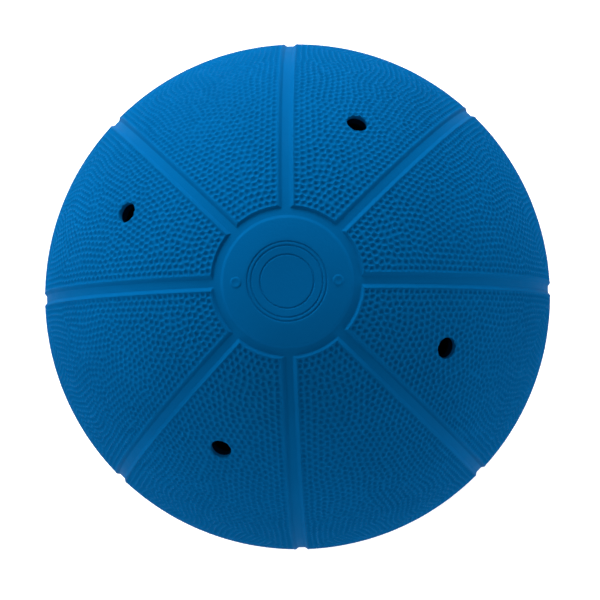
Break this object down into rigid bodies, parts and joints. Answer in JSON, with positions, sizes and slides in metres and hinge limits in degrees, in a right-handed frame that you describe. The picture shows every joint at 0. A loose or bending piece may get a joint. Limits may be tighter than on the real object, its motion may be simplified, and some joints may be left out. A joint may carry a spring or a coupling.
{
  "type": "goalball",
  "caption": "Hollow moulded rubber ball with raised panels between channels, smooth hubs and sound holes, holding loose jingle bells that ring as it rolls.",
  "frame": {"origin": "centre of the ball", "axes": "+Z along the axis through the two hubs, towards the front hub, and +X through the front hub's moulded buttons"},
  "size_m": [0.242, 0.242, 0.2386],
  "materials": {
    "shell_rubber": "satin",
    "bell_steel": "satin",
    "loop_wire": "satin",
    "pellet_steel": "polished"
  },
  "bodies": {
    "shell": {"front_half_shell": "shell_rubber", "rear_half_shell": "shell_rubber"},
    "bell_1": {"bell_1_upper_cup": "bell_steel", "bell_1_lower_cup": "bell_steel", "bell_1_loop": "loop_wire"},
    "pellet_1": {"bell_1_pellet": "pellet_steel"},
    "bell_2": {"bell_2_upper_cup": "bell_steel", "bell_2_lower_cup": "bell_steel", "bell_2_loop": "loop_wire"},
    "pellet_2": {"bell_2_pellet": "pellet_steel"}
  },
  "joints": [
    {"name": "bell_1_roll", "type": "hinge", "parent": "shell", "child": "bell_1", "pos_m": [0, 0, 0], "axis": [0, 1, 0], "continuous": true},
    {"name": "pellet_1_roll", "type": "hinge", "parent": "bell_1", "child": "pellet_1", "pos_m": [0, 0.0245, -0.08675], "axis": [0, 1, 0], "continuous": true},
    {"name": "bell_2_roll", "type": "hinge", "parent": "shell", "child": "bell_2", "pos_m": [0, 0, 0], "axis": [0, 1, 0], "continuous": true},
    {"name": "pellet_2_roll", "type": "hinge", "parent": "bell_2", "child": "pellet_2", "pos_m": [0, -0.0245, -0.08675], "axis": [0, 1, 0], "continuous": true}
  ]
}
